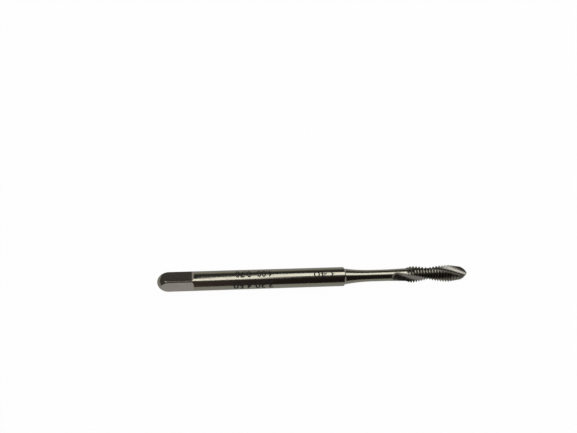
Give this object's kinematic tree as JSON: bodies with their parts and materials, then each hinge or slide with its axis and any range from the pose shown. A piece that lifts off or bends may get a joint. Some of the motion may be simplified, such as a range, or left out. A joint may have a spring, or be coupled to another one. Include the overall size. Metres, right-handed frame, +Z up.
{
  "type": "machine thread tap",
  "caption": "Long-shank machine tap with a bullet-ended driving square, a reduced neck and a threaded head cut by right-hand spiral flutes.",
  "frame": {"origin": "on the surface the tap lies on, straight below its axis at mid-length", "axes": "+X along the tap's axis, from the driving square towards the cutting point; +Z up, away from the surface it lies on"},
  "size_m": [0.074, 0.0044, 0.0045],
  "materials": {
    "hss_steel": "bright ground high-speed steel"
  },
  "bodies": {
    "root": {"tap": "hss_steel"}
  },
  "joints": []
}
